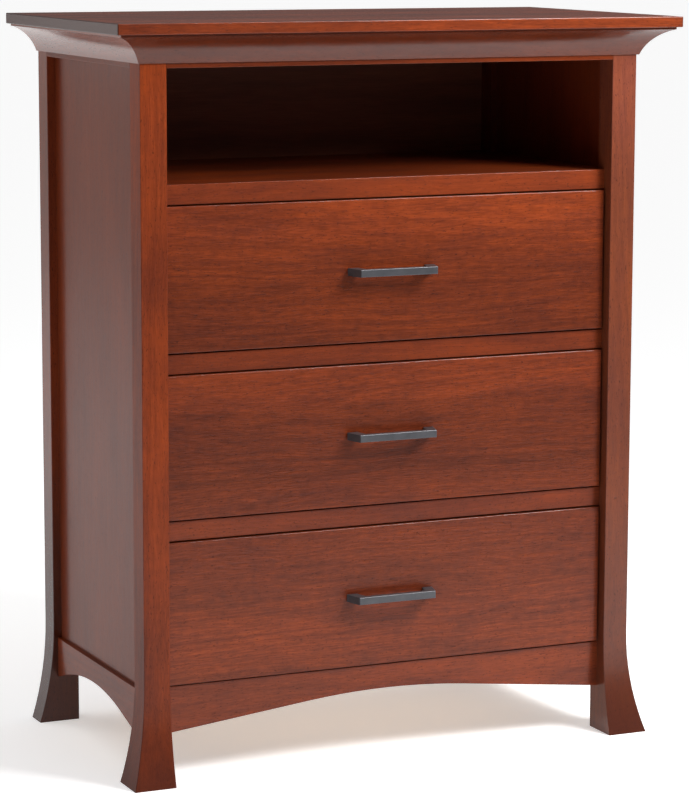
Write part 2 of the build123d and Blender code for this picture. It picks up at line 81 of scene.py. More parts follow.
def linear(code):
    """An sRGB hex code as linear red, green and blue."""
    parts = [int(code[i : i + 2], 16) / 255 for i in (1, 3, 5)]
    return tuple(c / 12.92 if c <= 0.04045 else ((c + 0.055) / 1.055) ** 2.4 for c in parts)


def add_node(tree, kind, inputs=None, **settings):
    """Add one node with its settings, and each input as a value or the socket it is fed from."""
    node = tree.nodes.new(kind)
    for name, value in settings.items():
        setattr(node, name, value)
    for socket, value in (inputs or {}).items():
        if isinstance(value, bpy.types.NodeSocket):
            tree.links.new(value, node.inputs[socket])
        else:
            node.inputs[socket].default_value = value
    return node


def new_material(name):
    """A node material that is still empty, and its tree."""
    material = bpy.data.materials.new(name)
    material.use_nodes = True
    material.node_tree.nodes.clear()
    return material, material.node_tree


def dress(nodes, material):
    """Give CAD nodes one material."""
    for name in nodes:
        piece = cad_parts[name]
        piece.data.materials.clear()
        piece.data.materials.append(material)


def grain_frame(tree, grain, cut):
    """Coordinates in metres inside the log, for a board cut from this place in it."""
    place = add_node(tree, "ShaderNodeTexCoord")
    axes = add_node(tree, "ShaderNodeSeparateXYZ", {0: place.outputs["Object"]})
    turned = add_node(
        tree,
        "ShaderNodeCombineXYZ",
        {i: axes.outputs[axis] for i, axis in enumerate(LOG_AXES[grain])},
    )
    shifted = add_node(
        tree, "ShaderNodeVectorMath", {0: turned.outputs[0], 1: cut}, operation="ADD"
    )
    sway = add_node(
        tree,
        "ShaderNodeVectorMath",
        {0: shifted.outputs[0], 1: SWAYS_PER_METRE},
        operation="MULTIPLY",
    )
    drift = add_node(
        tree, "ShaderNodeTexNoise", {"Vector": sway.outputs[0], "Scale": 1.0, "Detail": 2.0}
    )
    centred = add_node(
        tree,
        "ShaderNodeVectorMath",
        {0: drift.outputs["Color"], 1: (0.5, 0.5, 0.5)},
        operation="SUBTRACT",
    )
    bent = add_node(
        tree,
        "ShaderNodeVectorMath",
        {0: centred.outputs[0], 1: SWAY_REACH, 2: shifted.outputs[0]},
        operation="MULTIPLY_ADD",
    )
    return bent.outputs[0]


def stretched_noise(tree, fibres, length_mm, width_mm, detail):
    """Noise whose patches are about so long along the fibres and so wide across them."""
    scales = (1000 / length_mm, 1000 / width_mm, 1000 / width_mm)
    scaled = add_node(tree, "ShaderNodeVectorMath", {0: fibres, 1: scales}, operation="MULTIPLY")
    noise = add_node(
        tree, "ShaderNodeTexNoise", {"Vector": scaled.outputs[0], "Scale": 1.0, "Detail": detail}
    )
    return noise.outputs["Fac"]


def growth_rings(tree, fibres, look):
    """Noise that changes only with the distance from the pith, ring by ring."""
    place = add_node(tree, "ShaderNodeSeparateXYZ", {0: fibres})
    # The pith leans away along the board, which gives pointed arches on its face
    lean = add_node(
        tree,
        "ShaderNodeMath",
        {0: place.outputs[0], 1: look.pith_lean, 2: look.pith_depth},
        operation="MULTIPLY_ADD",
    )
    depth = add_node(
        tree, "ShaderNodeMath", {0: place.outputs[1], 1: lean.outputs[0]}, operation="ADD"
    )
    square = add_node(
        tree, "ShaderNodeMath", {0: place.outputs[2], 1: place.outputs[2]}, operation="MULTIPLY"
    )
    total = add_node(
        tree,
        "ShaderNodeMath",
        {0: depth.outputs[0], 1: depth.outputs[0], 2: square.outputs[0]},
        operation="MULTIPLY_ADD",
    )
    radius = add_node(tree, "ShaderNodeMath", {0: total.outputs[0], 1: 0.5}, operation="POWER")
    years = add_node(
        tree,
        "ShaderNodeMath",
        {0: radius.outputs[0], 1: 1 / look.ring_width},
        operation="MULTIPLY",
    )
    rings = add_node(
        tree,
        "ShaderNodeTexNoise",
        {"W": years.outputs[0], "Scale": 1.0, "Detail": 2.0, "Roughness": 0.6},
        noise_dimensions="1D",
    )
    return rings.outputs["Fac"]


def tone_by_height(tree, fibres, upward, low, high, stops):
    """A board's tone from its lower edge to its upper one, both given in the log."""
    place = add_node(tree, "ShaderNodeSeparateXYZ", {0: fibres})
    share = add_node(
        tree,
        "ShaderNodeMapRange",
        {"Value": place.outputs[upward], "From Min": low, "From Max": high},
    )
    ramp = add_node(tree, "ShaderNodeValToRGB", {0: share.outputs[0]})
    ramp.color_ramp.interpolation = "EASE"
    elements = ramp.color_ramp.elements
    for index, (position, tone) in enumerate(stops):
        stop = elements[index] if index < len(elements) else elements.new(position)
        stop.position = position
        channels = tone if isinstance(tone, tuple) else (tone, tone, tone)
        stop.color = (*channels, 1.0)
    return ramp.outputs["Color"]


# Sawn cherry under a red-brown stain and a sprayed satin varnish: broad warm and dark patches,
# faint growth rings, fine fibre streaks, short dark ticks, and a soft sheen that greys at a slant
def stained_cherry(name, grain, cut, tone=1.0, figure=1.0, coats=1.0, edges=None, stops=()):
    """One batch of cherry boards, cut from one place in the log.

    Figure is how strong the pattern is, and coats how much varnish there is, next to the plain
    board. Edges are the heights of a board's lower and upper edge, and stops its tones at shares
    of the way up, each as one number or for each channel.
    """
    look = bpy.context.scene.chest_cherry
    material, tree = new_material(name)
    fibres = grain_frame(tree, grain, cut)
    patches, streaks, ticks = (
        stretched_noise(tree, fibres, length * 1000, width * 1000, detail)
        for length, width, detail in (
            (look.patch_length, look.patch_width, 2.0),
            (look.streak_length, look.streak_width, 3.0),
            (look.tick_length, look.tick_width, 1.0),
        )
    )
    bands = stretched_noise(tree, fibres, length_mm=85, width_mm=9, detail=2.0)
    mottle = stretched_noise(tree, fibres, length_mm=11, width_mm=14, detail=1.0)
    rings = growth_rings(tree, fibres, look)

    if stops and grain == "X":
        # On a drawer front the tones by height stand for the boldest patches
        calmed = add_node(
            tree, "ShaderNodeMapRange", {"Value": patches, "To Min": 0.28, "To Max": 0.72}
        )
        patches = calmed.outputs[0]
    band_weight, mottle_weight = 0.48, 0.22
    banded = add_node(
        tree, "ShaderNodeMath", {0: bands, 1: band_weight, 2: patches}, operation="MULTIPLY_ADD"
    )
    mottled = add_node(
        tree,
        "ShaderNodeMath",
        {0: mottle, 1: mottle_weight, 2: banded.outputs[0]},
        operation="MULTIPLY_ADD",
    )
    middle = (1 + band_weight + mottle_weight) / 2
    spread = 0.22 / figure
    warmth = add_node(
        tree,
        "ShaderNodeMapRange",
        {"Value": mottled.outputs[0], "From Min": middle - spread, "From Max": middle + spread},
    )
    # A Mix node's colours go into sockets 6 and 7 and come out of socket 2
    warmed = add_node(
        tree,
        "ShaderNodeMix",
        {0: warmth.outputs[0], 6: (*look.dark_wood, 1.0), 7: (*look.light_wood, 1.0)},
        data_type="RGBA",
    )
    # The dense wood at a ring's end is dark, and the rest of it isn't
    ring_depth = 0.40 * figure
    ring_share = add_node(
        tree,
        "ShaderNodeMapRange",
        {"Value": rings, "From Min": 0.40, "From Max": 0.72, "To Max": ring_depth},
    )
    ringed = add_node(
        tree,
        "ShaderNodeMix",
        {0: ring_share.outputs[0], 6: warmed.outputs[2], 7: (*look.ring_wood, 1.0)},
        data_type="RGBA",
    )
    streak_depth = 0.21 * figure
    fine = add_node(
        tree,
        "ShaderNodeMapRange",
        {"Value": streaks, **NOISE_SPAN, "To Min": 1 - streak_depth, "To Max": 1 + streak_depth},
    )
    streaked = add_node(
        tree,
        "ShaderNodeVectorMath",
        {0: ringed.outputs[2], "Scale": fine.outputs[0]},
        operation="SCALE",
    )
    # Only the noise's highest peaks are ticks
    tick_share = add_node(
        tree,
        "ShaderNodeMapRange",
        {"Value": ticks, "From Min": 0.63, "From Max": 0.74, "To Max": look.tick_depth},
    )
    ticked = add_node(
        tree,
        "ShaderNodeMix",
        {0: tick_share.outputs[0], 6: streaked.outputs[0], 7: (*look.tick_wood, 1.0)},
        data_type="RGBA",
    )
    toned = add_node(
        tree, "ShaderNodeVectorMath", {0: ticked.outputs[2], "Scale": tone}, operation="SCALE"
    )
    if stops:
        upward = LOG_AXES[grain].index(UP)
        low, high = (edge + cut[upward] for edge in edges)
        profile = tone_by_height(tree, fibres, upward, low, high, stops)
        toned = add_node(
            tree, "ShaderNodeVectorMath", {0: toned.outputs[0], 1: profile}, operation="MULTIPLY"
        )

    # Where the saw cut across the fibres, as on board ends and the flare of a foot, stain soaks in.
    # The slants are sines of the angle between fibres and surface, 2 and 22 degrees
    least_slant, full_slant = 0.03, 0.38
    place = add_node(tree, "ShaderNodeTexCoord")
    facing = add_node(
        tree,
        "ShaderNodeVectorMath",
        {0: place.outputs["Normal"], 1: FIBRES_RUN[grain]},
        operation="DOT_PRODUCT",
    )
    slant = add_node(tree, "ShaderNodeMath", {0: facing.outputs["Value"]}, operation="ABSOLUTE")
    soaked = add_node(
        tree,
        "ShaderNodeMapRange",
        {"Value": slant.outputs[0], "From Min": least_slant, "From Max": full_slant},
    )
    stained = add_node(
        tree,
        "ShaderNodeMix",
        {0: soaked.outputs[0], 6: toned.outputs[0], 7: (*look.end_wood, 1.0)},
        data_type="RGBA",
    )

    tick_drop = -0.6
    relief = add_node(
        tree,
        "ShaderNodeMath",
        {0: tick_share.outputs[0], 1: tick_drop, 2: fine.outputs[0]},
        operation="MULTIPLY_ADD",
    )
    bump = add_node(
        tree,
        "ShaderNodeBump",
        {"Height": relief.outputs[0], "Strength": 0.4, "Distance": 0.0006},
    )
    sheen, sway = look.roughness, 0.05
    gloss = add_node(
        tree,
        "ShaderNodeMapRange",
        {"Value": streaks, **NOISE_SPAN, "To Min": sheen - sway, "To Max": sheen + sway},
    )
    shader = add_node(
        tree,
        "ShaderNodeBsdfPrincipled",
        {
            "Base Color": stained.outputs[2],
            "Roughness": gloss.outputs[0],
            "Specular IOR Level": look.specular,
            "Coat Weight": look.varnish * coats,
            "Coat Roughness": look.varnish_roughness,
            "Coat IOR": 1.5,
            "Normal": bump.outputs[0],
            "Coat Normal": bump.outputs[0],
        },
    )
    add_node(tree, "ShaderNodeOutputMaterial", {"Surface": shader.outputs[0]})
    return material


def two_tone_wood(tree, fibres, light, dark, patches, streaks, contrast):
    """The colour of plain wood, and its streaks as a height.

    Patches and streaks are each a length and width in millimetres and a detail.
    """
    broad = stretched_noise(tree, fibres, *patches)
    lines = stretched_noise(tree, fibres, *streaks)
    share = add_node(
        tree, "ShaderNodeMapRange", {"Value": broad, "From Min": 0.35, "From Max": 0.65}
    )
    mixed = add_node(
        tree,
        "ShaderNodeMix",
        {0: share.outputs[0], 6: (*light, 1.0), 7: (*dark, 1.0)},
        data_type="RGBA",
    )
    faint, strong = contrast
    fine = add_node(
        tree,
        "ShaderNodeMapRange",
        {"Value": lines, **NOISE_SPAN, "To Min": faint, "To Max": strong},
    )
    toned = add_node(
        tree,
        "ShaderNodeVectorMath",
        {0: mixed.outputs[2], "Scale": fine.outputs[0]},
        operation="SCALE",
    )
    return toned.outputs[0], lines


# Planed maple under clear lacquer: pale honey boards with faint brown streaks and a low sheen
def lacquered_maple(name, grain, cut):
    """Drawer-box boards."""
    look = bpy.context.scene.chest_boxes
    material, tree = new_material(name)
    fibres = grain_frame(tree, grain, cut)
    colour, lines = two_tone_wood(
        tree,
        fibres,
        look.maple_light,
        look.maple_dark,
        patches=(320, 60, 2.0),
        streaks=(70, 2.2, 3.0),
        contrast=(0.88, 1.10),
    )
    bump = add_node(
        tree, "ShaderNodeBump", {"Height": lines, "Strength": 0.10, "Distance": 0.0003}
    )
    shader = add_node(
        tree,
        "ShaderNodeBsdfPrincipled",
        {
            "Base Color": colour,
            "Roughness": 0.45,
            "Coat Weight": 0.25,
            "Coat Roughness": 0.30,
            "Normal": bump.outputs[0],
        },
    )
    add_node(tree, "ShaderNodeOutputMaterial", {"Surface": shader.outputs[0]})
    return material


# Rotary-cut veneer plywood, wiped with stain or clear: wide soft flames and a dull face
def veneered_plywood(name, light, dark, cut):
    """Thin sheet stock for the back panel and the drawer bottoms."""
    material, tree = new_material(name)
    fibres = grain_frame(tree, "X", cut)
    colour, lines = two_tone_wood(
        tree,
        fibres,
        light,
        dark,
        patches=(420, 26, 4.0),
        streaks=(45, 1.8, 2.0),
        contrast=(0.86, 1.12),
    )
    bump = add_node(
        tree, "ShaderNodeBump", {"Height": lines, "Strength": 0.15, "Distance": 0.0003}
    )
    shader = add_node(
        tree,
        "ShaderNodeBsdfPrincipled",
        {"Base Color": colour, "Roughness": 0.58, "Normal": bump.outputs[0]},
    )
    add_node(tree, "ShaderNodeOutputMaterial", {"Surface": shader.outputs[0]})
    return material


# Die-cast zinc under dark gunmetal lacquer: slate-grey, satin, with a very fine spray texture
def gunmetal_lacquer():
    """The pulls' finish."""
    look = bpy.context.scene.chest_hardware
    material, tree = new_material("Gunmetal lacquer on die-cast zinc")
    place = add_node(tree, "ShaderNodeTexCoord")
    # Spray droplets are near 0.1 mm; drawn at 0.8 mm so that they show at all
    spray = add_node(
        tree,
        "ShaderNodeTexNoise",
        {"Vector": place.outputs["Object"], "Scale": 1250.0, "Detail": 2.0},
    )
    # Clouds of thicker lacquer, some 17 mm across
    cloud = add_node(
        tree,
        "ShaderNodeTexNoise",
        {"Vector": place.outputs["Object"], "Scale": 60.0, "Detail": 2.0},
    )
    share = add_node(tree, "ShaderNodeMapRange", {"Value": cloud.outputs["Fac"], **NOISE_SPAN})
    mixed = add_node(
        tree,
        "ShaderNodeMix",
        {0: share.outputs[0], 6: (*look.pull_dark, 1.0), 7: (*look.pull_light, 1.0)},
        data_type="RGBA",
    )
    bump = add_node(
        tree,
        "ShaderNodeBump",
        {"Height": spray.outputs["Fac"], "Strength": 0.10, "Distance": 0.0002},
    )
    gloss = add_node(
        tree,
        "ShaderNodeMapRange",
        {"Value": spray.outputs["Fac"], **NOISE_SPAN, "To Min": 0.30, "To Max": 0.38},
    )
    shader = add_node(
        tree,
        "ShaderNodeBsdfPrincipled",
        {
            "Base Color": mixed.outputs[2],
            "Metallic": look.pull_metallic,
            "Roughness": gloss.outputs[0],
            "Normal": bump.outputs[0],
        },
    )
    add_node(tree, "ShaderNodeOutputMaterial", {"Surface": shader.outputs[0]})
    return material


# Cold-rolled steel with bright zinc plating: rolling lines along its length and a cloudy lustre
def zinc_plated_steel(name, tint, roughness):
    """Slides and screws."""
    material, tree = new_material(name)
    place = add_node(tree, "ShaderNodeTexCoord")
    # Rolling lines are finer than 0.1 mm; drawn 0.6 mm apart and 80 mm long so that they show
    lines_per_metre = (1600.0, 12.0, 1600.0)
    lines = add_node(
        tree,
        "ShaderNodeVectorMath",
        {0: place.outputs["Object"], 1: lines_per_metre},
        operation="MULTIPLY",
    )
    rolled = add_node(
        tree, "ShaderNodeTexNoise", {"Vector": lines.outputs[0], "Scale": 1.0, "Detail": 2.0}
    )
    # Clouds in the plating, some 11 mm across
    cloud = add_node(
        tree,
        "ShaderNodeTexNoise",
        {"Vector": place.outputs["Object"], "Scale": 90.0, "Detail": 3.0},
    )
    shade = add_node(
        tree,
        "ShaderNodeMapRange",
        {"Value": cloud.outputs["Fac"], **NOISE_SPAN, "To Min": 0.82, "To Max": 1.06},
    )
    toned = add_node(
        tree, "ShaderNodeVectorMath", {0: tint, "Scale": shade.outputs[0]}, operation="SCALE"
    )
    smooth, rough = roughness - 0.08, roughness + 0.08
    gloss = add_node(
        tree,
        "ShaderNodeMapRange",
        {"Value": rolled.outputs["Fac"], **NOISE_SPAN, "To Min": smooth, "To Max": rough},
    )
    bump = add_node(
        tree,
        "ShaderNodeBump",
        {"Height": rolled.outputs["Fac"], "Strength": 0.05, "Distance": 0.0002},
    )
    shader = add_node(
        tree,
        "ShaderNodeBsdfPrincipled",
        {
            "Base Color": toned.outputs[0],
            "Metallic": 1.0,
            "Roughness": gloss.outputs[0],
            "Normal": bump.outputs[0],
        },
    )
    add_node(tree, "ShaderNodeOutputMaterial", {"Surface": shader.outputs[0]})
    return material


def spread_of_screws(node, axis):
    """Each screw of a CAD node: the middle of its head's outer face, its direction and length."""
    shape = bmesh.new()
    shape.from_mesh(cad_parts[node].data)
    bmesh.ops.remove_doubles(shape, verts=shape.verts, dist=SAME_VERTEX)
    waiting = set(shape.verts)
    screws = []
    # The mesh's own order, because a set's order would change from run to run
    for first in shape.verts:
        if first not in waiting:
            continue
        waiting.remove(first)
        group = [first]
        for vert in group:
            for edge in vert.link_edges:
                other = edge.other_vert(vert)
                if other in waiting:
                    waiting.remove(other)
                    group.append(other)
        low = min(vert.co[axis] for vert in group)
        high = max(vert.co[axis] for vert in group)
        middle = sum((vert.co for vert in group), Vector()) / len(group)
        widths = []
        for end in (low, high):
            rim = [vert.co for vert in group if abs(vert.co[axis] - end) < SAME_PLANE]
            widths.append(max((a - b).length for a in rim for b in rim))
        head_is_high = widths[1] > widths[0]
        outward = Vector((0, 0, 0))
        outward[axis] = 1 if head_is_high else -1
        middle[axis] = high if head_is_high else low
        screws.append((middle, outward, high - low))
    shape.free()
    return screws


def turned_shape(profile, steps):
    """A closed shape, turned from radii and heights that begin and end on the axis."""
    shape = bmesh.new()
    rings = []
    for radius, height in profile[1:-1]:
        ring = []
        for step in range(steps):
            turn = 2 * math.pi * step / steps
            point = (radius * math.cos(turn), radius * math.sin(turn), height)
            ring.append(shape.verts.new(point))
        rings.append(ring)
    for upper, lower in zip(rings, rings[1:]):
        for step in range(steps):
            after = (step + 1) % steps
            shape.faces.new((upper[step], lower[step], lower[after], upper[after]))
    for ring, (_, height) in ((rings[0], profile[0]), (rings[-1], profile[-1])):
        centre = shape.verts.new((0, 0, height))
        for step in range(steps):
            shape.faces.new((centre, ring[step], ring[(step + 1) % steps]))
    bmesh.ops.recalc_face_normals(shape, faces=shape.faces)
    return shape


def cross_cutter(reach, width, depth):
    """A cross-shaped plug that narrows towards its bottom, for the drive of a screw."""
    rise, taper = 0.2, 0.55
    outline = []
    for turn in range(4):
        quarter = Matrix.Rotation(turn * math.pi / 2, 2)
        for x, y in ((reach, -width), (reach, width), (width, width)):
            outline.append(quarter @ Vector((x, y)))
    shape = bmesh.new()
    above = [shape.verts.new((p.x, p.y, depth * rise)) for p in outline]
    below = [shape.verts.new((p.x * taper, p.y * taper, -depth)) for p in outline]
    shape.faces.new(above)
    shape.faces.new(list(reversed(below)))
    for corner in range(len(outline)):
        after = (corner + 1) % len(outline)
        shape.faces.new((above[corner], below[corner], below[after], above[after]))
    bmesh.ops.recalc_face_normals(shape, faces=shape.faces)
    return shape


def place_shape(name, shape):
    """An object in the scene that holds a finished bmesh."""
    mesh = bpy.data.meshes.new(name)
    shape.to_mesh(mesh)
    shape.free()
    piece = bpy.data.objects.new(name, mesh)
    bpy.context.scene.collection.objects.link(piece)
    return piece


def cross_head_screw(length, head_radius, head_height, shank_radius):
    """The mesh of a pan-head screw: its head's crown at height zero, its point straight below."""
    point_radius = shank_radius * 0.25
    profile = [
        (0.0, 0.0),
        *((head_radius * across, -head_height * down) for across, down in PAN_HEAD),
        (shank_radius, -head_height),
        (shank_radius, -length + shank_radius),
        (point_radius, -length),
        (0.0, -length),
    ]
    piece = place_shape("screw_blank", turned_shape(profile, steps=40))
    drive = cross_cutter(
        reach=head_radius * 0.56, width=head_radius * 0.13, depth=head_height * 0.62
    )
    cutter = place_shape("screw_drive", drive)
    cut = piece.modifiers.new("drive", "BOOLEAN")
    cut.operation = "DIFFERENCE"
    cut.solver = "EXACT"
    cut.object = cutter
    seen = piece.evaluated_get(bpy.context.evaluated_depsgraph_get())
    mesh = bpy.data.meshes.new_from_object(seen)
    for helper in (piece, cutter):
        bpy.data.objects.remove(helper, do_unlink=True)
    return mesh


def fit_screws(node, body, axis, material):
    """Stand cross-head screws in for the plain ones of a CAD node."""
    look = bpy.context.scene.chest_hardware
    # Each screw was driven home at its own angle
    first_angle, next_angle = 0.7, 1.9
    shape = bmesh.new()
    for index, (crown, outward, length) in enumerate(spread_of_screws(node, axis)):
        mesh = cross_head_screw(length, look.head_radius, look.head_height, look.shank_radius)
        turn = Matrix.Rotation(first_angle + next_angle * index, 4, "Z")
        aim = outward.to_track_quat("Z", "Y").to_matrix().to_4x4()
        mesh.transform(Matrix.Translation(crown) @ aim @ turn)
        shape.from_mesh(mesh)
        bpy.data.meshes.remove(mesh)
    piece = place_shape(f"{node}_cross_head", shape)
    for face in piece.data.polygons:
        face.use_smooth = True
    piece.data.set_sharp_from_angle(angle=SHARP_EDGE)
    piece.data.materials.append(material)
    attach(piece, body)
    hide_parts(node)


class CherryLook(bpy.types.PropertyGroup):
    """Colours, figure and varnish of the cherry boards."""

    light_wood: bpy.props.FloatVectorProperty(
        name="Light wood",
        description="The stained wood where it is lightest",
        subtype="COLOR",
        default=linear("#863816"),
    )
    dark_wood: bpy.props.FloatVectorProperty(
        name="Dark wood",
        description="The stained wood where it is darkest",
        subtype="COLOR",
        default=linear("#5A2617"),
    )
    ring_wood: bpy.props.FloatVectorProperty(
        name="Ring wood",
        description="The dense wood at the end of each year's growth",
        subtype="COLOR",
        default=linear("#54200F"),
    )
    tick_wood: bpy.props.FloatVectorProperty(
        name="Tick wood",
        description="The short dark pores and gum flecks",
        subtype="COLOR",
        default=linear("#36130B"),
    )
    ring_width: bpy.props.FloatProperty(
        name="Ring width", description="Width of a year's growth", unit="LENGTH", default=0.006
    )
    pith_depth: bpy.props.FloatProperty(
        name="Pith depth",
        description="How far behind the board's face the middle of the log lies",
        unit="LENGTH",
        default=0.065,
    )
    pith_lean: bpy.props.FloatProperty(
        name="Pith lean", description="How much the log leans away along the board", default=0.035
    )
    patch_length: bpy.props.FloatProperty(
        name="Patch length", description="Length of a tone patch", unit="LENGTH", default=0.26
    )
    patch_width: bpy.props.FloatProperty(
        name="Patch width", description="Width of a tone patch", unit="LENGTH", default=0.070
    )
    streak_length: bpy.props.FloatProperty(
        name="Streak length", description="Length of a fibre streak", unit="LENGTH", default=0.020
    )
    streak_width: bpy.props.FloatProperty(
        name="Streak width",
        description="Width of a fibre streak, a little coarser than real so that it shows",
        unit="LENGTH",
        default=0.0018,
    )
    tick_length: bpy.props.FloatProperty(
        name="Tick length", description="Length of a pore tick", unit="LENGTH", default=0.006
    )
    tick_width: bpy.props.FloatProperty(
        name="Tick width",
        description="Width of a pore tick, some three times coarser than real so that it shows",
        unit="LENGTH",
        default=0.0015,
    )
    tick_depth: bpy.props.FloatProperty(
        name="Tick depth", description="How dark the ticks are", subtype="FACTOR", default=0.62
    )
    end_wood: bpy.props.FloatVectorProperty(
        name="End grain",
        description="Wood whose cut fibres have soaked up stain",
        subtype="COLOR",
        default=linear("#44221B"),
    )
    roughness: bpy.props.FloatProperty(
        name="Roughness",
        description="Roughness of the stained wood",
        subtype="FACTOR",
        default=0.46,
    )
    specular: bpy.props.FloatProperty(
        name="Specular",
        description="Reflection of the wood itself",
        subtype="FACTOR",
        default=0.05,
    )
    varnish: bpy.props.FloatProperty(
        name="Varnish", description="Weight of the satin varnish", subtype="FACTOR", default=0.45
    )
    varnish_roughness: bpy.props.FloatProperty(
        name="Varnish roughness",
        description="Satin varnish blurs what it mirrors",
        subtype="FACTOR",
        default=0.17,
    )


class BoxLook(bpy.types.PropertyGroup):
    """Colours of the drawer boxes and the sheet stock."""

    maple_light: bpy.props.FloatVectorProperty(
        name="Light maple",
        description="Palest colour of the box boards",
        subtype="COLOR",
        default=linear("#DDBD91"),
    )
    maple_dark: bpy.props.FloatVectorProperty(
        name="Dark maple",
        description="Brown streaks of the box boards",
        subtype="COLOR",
        default=linear("#C29A69"),
    )
    ply_light: bpy.props.FloatVectorProperty(
        name="Light veneer",
        description="Palest colour of the drawer bottoms",
        subtype="COLOR",
        default=linear("#D2B081"),
    )
    ply_dark: bpy.props.FloatVectorProperty(
        name="Dark veneer",
        description="Flames in the drawer bottoms",
        subtype="COLOR",
        default=linear("#B58C5C"),
    )
    back_light: bpy.props.FloatVectorProperty(
        name="Light back",
        description="Stained back panel where it is lightest",
        subtype="COLOR",
        default=linear("#8A5238"),
    )
    back_dark: bpy.props.FloatVectorProperty(
        name="Dark back",
        description="Stained back panel where it is darkest",
        subtype="COLOR",
        default=linear("#744330"),
    )


class HardwareLook(bpy.types.PropertyGroup):
    """Colours and small sizes of the metal parts."""

    pull_light: bpy.props.FloatVectorProperty(
        name="Light pull",
        description="Lacquer of the pulls where it is lightest",
        subtype="COLOR",
        default=linear("#505054"),
    )
    pull_dark: bpy.props.FloatVectorProperty(
        name="Dark pull",
        description="Lacquer of the pulls where it is darkest",
        subtype="COLOR",
        default=linear("#45464A"),
    )
    pull_metallic: bpy.props.FloatProperty(
        name="Pull metallic",
        description="Metal flake in the lacquer",
        subtype="FACTOR",
        default=0.3,
    )
    zinc: bpy.props.FloatVectorProperty(
        name="Zinc", description="Bright zinc plating", subtype="COLOR", default=linear("#C4C7CB")
    )
    screw: bpy.props.FloatVectorProperty(
        name="Screw",
        description="Yellow screw plating",
        subtype="COLOR",
        default=linear("#A39673"),
    )
    head_radius: bpy.props.FloatProperty(
        name="Head radius", description="Radius of a screw's head", unit="LENGTH", default=0.004
    )
    head_height: bpy.props.FloatProperty(
        name="Head height", description="Height of a screw's head", unit="LENGTH", default=0.0025
    )
    shank_radius: bpy.props.FloatProperty(
        name="Shank radius", description="Radius of a screw's shank", unit="LENGTH", default=0.002
    )


class StudioLook(bpy.types.PropertyGroup):
    """Floor, lights and camera."""

    floor: bpy.props.FloatVectorProperty(
        name="Floor", description="Pale studio floor", subtype="COLOR", default=linear("#F9F9F9")
    )
    floor_front: bpy.props.FloatVectorProperty(
        name="Front floor",
        description="Greyer floor far in front of the chest",
        subtype="COLOR",
        default=linear("#7C7C7C"),
    )
    floor_left: bpy.props.FloatVectorProperty(
        name="Left floor",
        description="Greyer floor far behind to the left",
        subtype="COLOR",
        default=linear("#C2BAB6"),
    )
    floor_glow: bpy.props.FloatProperty(
        name="Floor glow", description="Light that the floor gives off itself", default=0.42
    )
    overhead: bpy.props.FloatProperty(
        name="Overhead", description="Brightness of the white ceiling", default=0.87
    )
    walls: bpy.props.FloatProperty(
        name="Walls", description="Brightness of the studio's walls", default=0.21
    )
    horizon: bpy.props.FloatProperty(
        name="Horizon", description="Brightness of the walls low down", default=0.03
    )
    key_power: bpy.props.FloatProperty(
        name="Key", description="Power of the right softbox", subtype="POWER", default=60.0
    )
    fill_power: bpy.props.FloatProperty(
        name="Fill", description="Power of the softbox behind", subtype="POWER", default=10.0
    )
    glint_power: bpy.props.FloatProperty(
        name="Glint",
        description="Power of the high box that shines on edges",
        subtype="POWER",
        default=160.0,
    )
    camera_place: bpy.props.FloatVectorProperty(
        name="Camera place",
        description="Where the camera stands",
        subtype="TRANSLATION",
        unit="LENGTH",
        default=(-1.9761, -4.3898, 1.2962),
    )
    camera_turn: bpy.props.FloatVectorProperty(
        name="Camera turn",
        description="The camera's rotation",
        subtype="EULER",
        unit="ROTATION",
        default=tuple(math.radians(a) for a in (80.9732, -0.1580, -24.2772)),
    )
    focal_length: bpy.props.FloatProperty(
        name="Focal length",
        description="Lens, for a sensor 36 mm along the picture's long side",
        unit="CAMERA",
        default=138.59,
    )


class CHEST_OT_legs(bpy.types.Operator):
    """Finish the four flared legs, whose grain runs upright"""

    bl_idname = "chest.legs"
    bl_label = "Legs"

    def execute(self, context):
        # Place in the log, tone, figure and coats, then the tones of foot, middle and head. The
        # feet are darker as painted shade and the heads lighter as painted light
        right_painted_shade_and_sheen = ((0.70, 0.90, 1.2), (1.02, 1.40, 1.9), (1.12, 1.65, 3.2))
        legs = {
            "leg_front_left": ((0.13, 0.41, 0.02), 1.14, 0.7, 0.5, (0.85, 1.0, 1.12)),
            # The front right leg's green and blue rise all along it, towards the head most: a
            # painted grey sheen
            "leg_front_right": ((0.71, 0.93, 0.35), 0.97, 0.5, 1.5, right_painted_shade_and_sheen),
            # The rear left foot is painted nearly black, as the shade under the chest
            "leg_rear_left": ((1.37, 0.17, 0.61), 1.00, 0.5, 1.5, (0.34, 1.0, 1.1)),
            "leg_rear_right": ((2.21, 0.57, 0.83), 1.03, 0.6, 1.0, (0.85, 1.0, 1.0)),
        }
        for name, (cut, tone, figure, coats, (painted_foot_shade, middle, painted_head_light)) in legs.items():
            title = f"Stained cherry {name.replace('_', ' ')}"
            edges = (0.0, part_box(name)[1][UP])
            # Only the leg's middle keeps one tone for a while
            stops = ((0.15, painted_foot_shade), (0.5, middle), (0.75, middle), (0.95, painted_head_light))
            wood = stained_cherry(title, "Z", cut, tone, figure, coats, edges, stops)
            dress([name], wood)
        return {"FINISHED"}


class CHEST_OT_sides(bpy.types.Operator):
    """Finish the side panels, their top rails and their arched bottom rails"""

    bl_idname = "chest.sides"
    bl_label = "Sides"

    def execute(self, context):
        # The panels grow lighter towards their top edge: painted light
        panels = stained_cherry(
            "Stained cherry side panels",
            "Z",
            (3.1, 0.7, 0.4),
            tone=0.91,
            figure=0.35,
            edges=(0.0, 1.1),
            stops=((0.4, 1.0), (0.95, 1.12)),
        )
        rails = stained_cherry("Stained cherry side rails", "Y", (0.9, 0.2, 1.4), 1.0, 0.6)
        for side in ("left", "right"):
            dress([f"side_panel_{side}"], panels)
            dress([f"side_{level}_rail_{side}" for level in ("top", "bottom")], rails)
        return {"FINISHED"}


